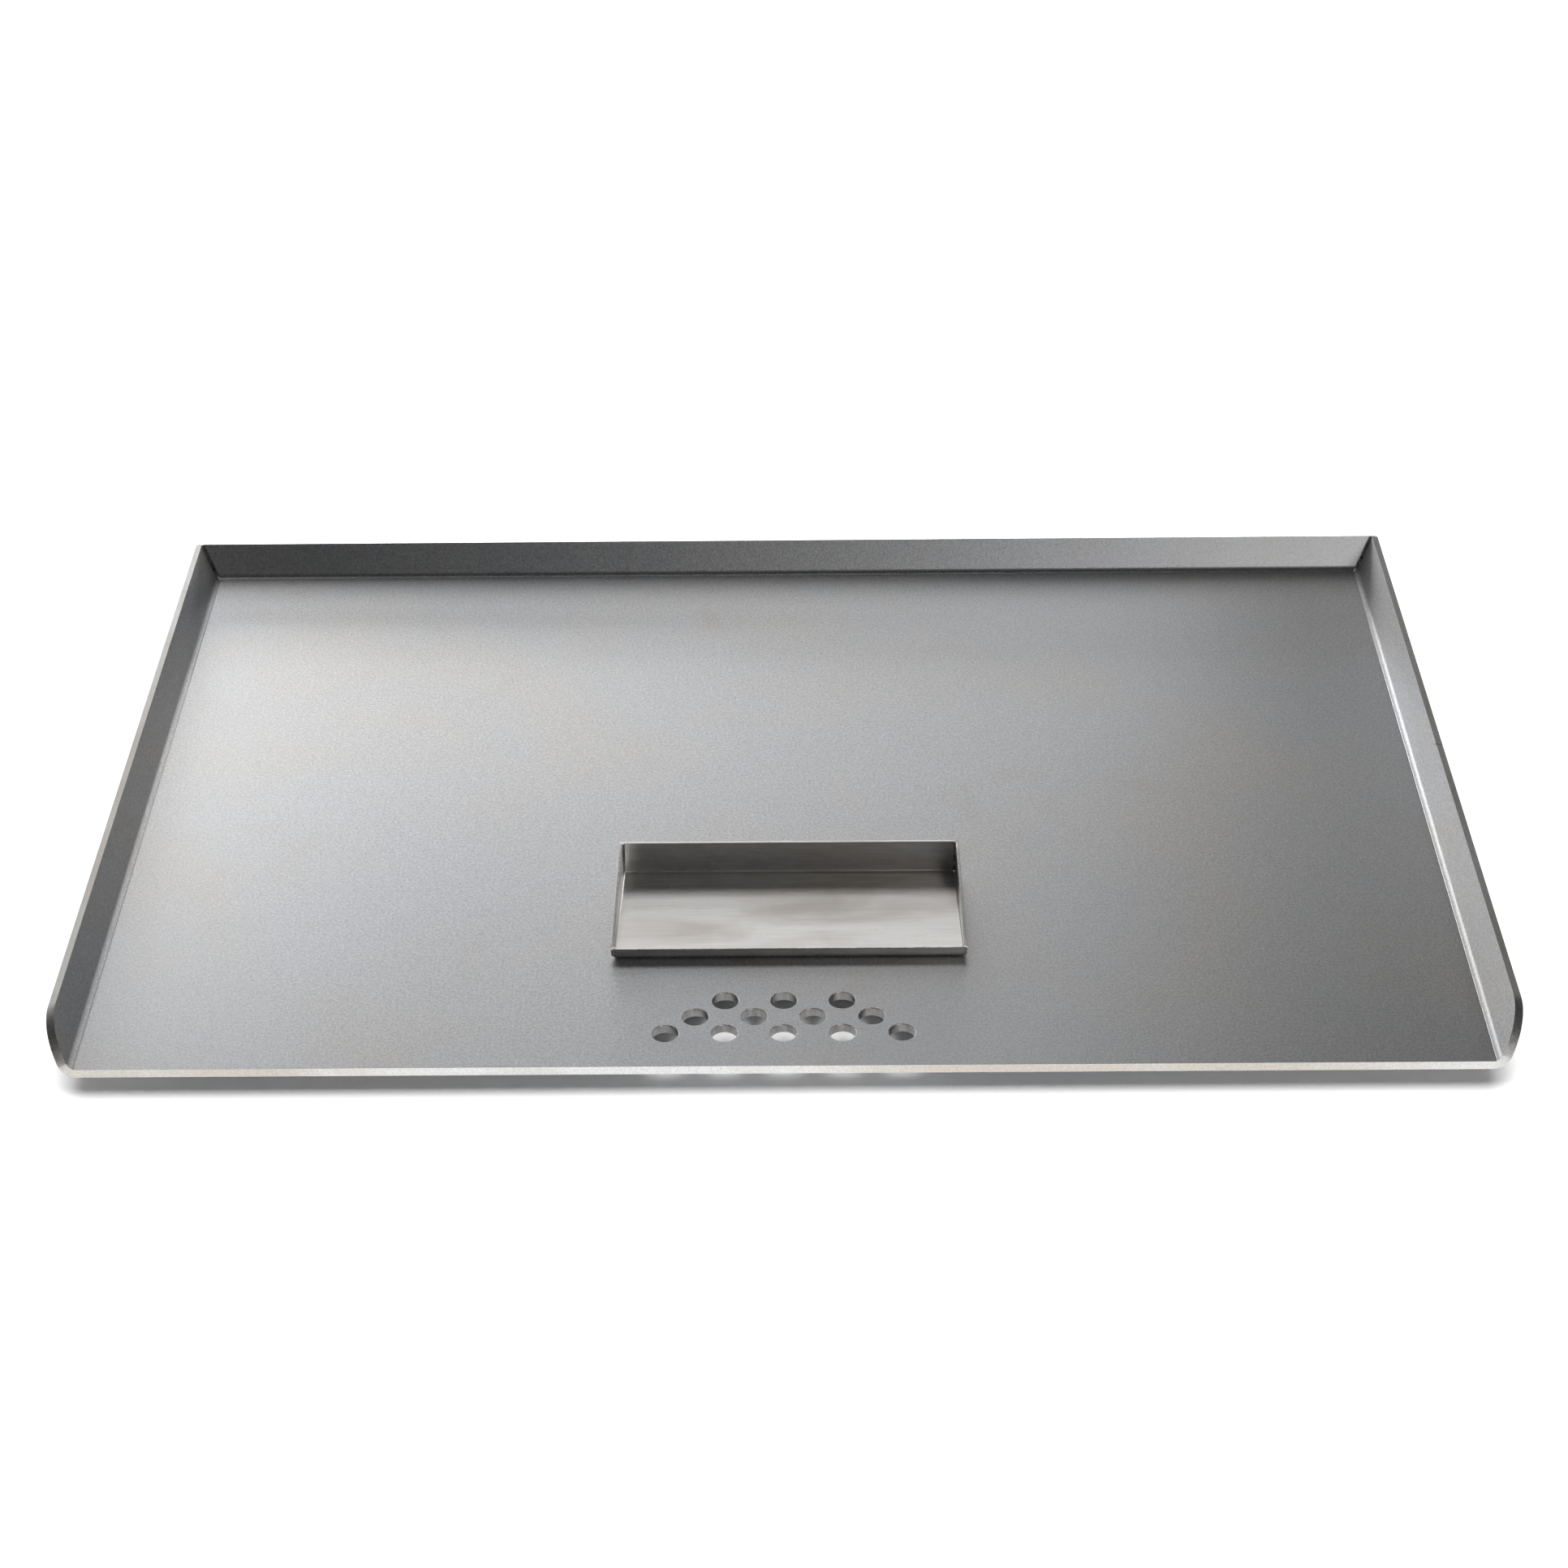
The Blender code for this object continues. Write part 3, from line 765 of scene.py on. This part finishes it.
def add_softbox(name, place, target, width, height, radiance, shine=True):
    """A rectangular light at place, facing target."""
    light = bpy.data.lights.new(name, "AREA")
    light.shape = "RECTANGLE"
    light.size = width
    light.size_y = height
    light.energy = math.pi * width * height * radiance
    lamp = bpy.data.objects.new(name, light)
    lamp.location = place
    lamp.rotation_euler = (Vector(target) - Vector(place)).to_track_quat("-Z", "Y").to_euler()
    lamp.visible_camera = False
    lamp.visible_glossy = shine
    bpy.context.scene.collection.objects.link(lamp)


def build_world():
    """A dim room, whose far walls look pale."""
    world = bpy.data.worlds.new("studio")
    world.use_nodes = True
    bpy.context.scene.world = world
    nodes = Nodes(world.node_tree)
    background = world.node_tree.nodes["Background"]
    background.inputs["Color"].default_value = (0.97, 0.985, 1.0, 1.0)
    looking = nodes.add("ShaderNodeLightPath").outputs["Is Camera Ray"]
    strength = nodes.spread(looking, 0.0, 1.0, ROOM_LIGHT, 1.0)
    world.node_tree.links.new(strength, background.inputs["Strength"])


def build_floor():
    bm = bmesh.new()
    bmesh.ops.create_grid(bm, x_segments=1, y_segments=1, size=FLOOR_HALF_SIZE)
    material = bpy.data.materials.new("sweep")
    material.use_nodes = True
    shader = material.node_tree.nodes["Principled BSDF"]
    shader.inputs["Base Color"].default_value = (0.9, 0.9, 0.9, 1.0)
    shader.inputs["Roughness"].default_value = 0.9
    shader.inputs["Specular IOR Level"].default_value = 0.0
    floor = new_object("sweep_floor", bm, material)


# From the middle of the plate's front edge, then pitch, yaw and roll in degrees
CAMERA_OFFSET = Vector((0.0146, -1.2177, 0.9683))
CAMERA_TURN = (33.44, -0.59, -0.72)
CAMERA_LENS = 73.2


def build_camera():
    """A short telephoto view from in front and above."""
    data = bpy.data.cameras.new("camera")
    data.sensor_width = 36.0
    data.lens = CAMERA_LENS
    data.clip_end = 50.0
    camera = bpy.data.objects.new("camera", data)
    pitch, yaw, roll = (math.radians(angle) for angle in CAMERA_TURN)
    forward = Vector((math.sin(yaw) * math.cos(pitch), math.cos(yaw) * math.cos(pitch),
                      -math.sin(pitch)))
    level_right = Vector((math.cos(yaw), -math.sin(yaw), 0.0))
    level_up = level_right.cross(forward)
    right = level_right * math.cos(roll) + level_up * math.sin(roll)
    up = level_up * math.cos(roll) - level_right * math.sin(roll)
    turn = Matrix((right, up, -forward)).transposed()
    place = Vector((0.0, PLATE_LOW.y, PLATE_TOP)) + CAMERA_OFFSET
    camera.matrix_world = Matrix.Translation(place) @ turn.to_4x4()
    bpy.context.scene.collection.objects.link(camera)
    bpy.context.scene.camera = camera


def build_studio():
    scene = bpy.context.scene
    scene.view_settings.view_transform = "Standard"
    build_world()
    build_floor()
    build_camera()
    on_plate = (0.0, 0.0, PLATE_TOP)
    for name, place, width, height, radiance in SOFTBOXES:
        add_softbox(name, place, on_plate, width, height, radiance)
    add_softbox("overhead_wash", WASH_PLACE, on_plate, WASH_SIZE, WASH_SIZE, WASH, shine=False)


# ---------------------------------------------------------------- build

plate_steel = plate_material()
plate_walls = build_plate(plate_steel, cut_edge_material(), bore_material(), chamfer_material())
build_plate_welds(plate_walls, weld_material("plate_weld", (0.33, 0.33, 0.34), (0.24, 0.22, 0.21),
                                             (0.20, 0.21, 0.26)))
build_fillets(weld_material("stitch_weld", (0.26, 0.26, 0.27), (0.22, 0.19, 0.17),
                            (0.16, 0.18, 0.25)))
build_tray(tray_material(), weld_material("tray_weld", (0.66, 0.655, 0.65), (0.42, 0.35, 0.30),
                                          (0.20, 0.17, 0.20)))
bar_steel = bar_material()
for node_name, node in frame["nodes"].items():
    if node_name.startswith("brace") and "weld" not in node_name:
        node.data.materials.clear()
        node.data.materials.append(bar_steel)
build_studio()
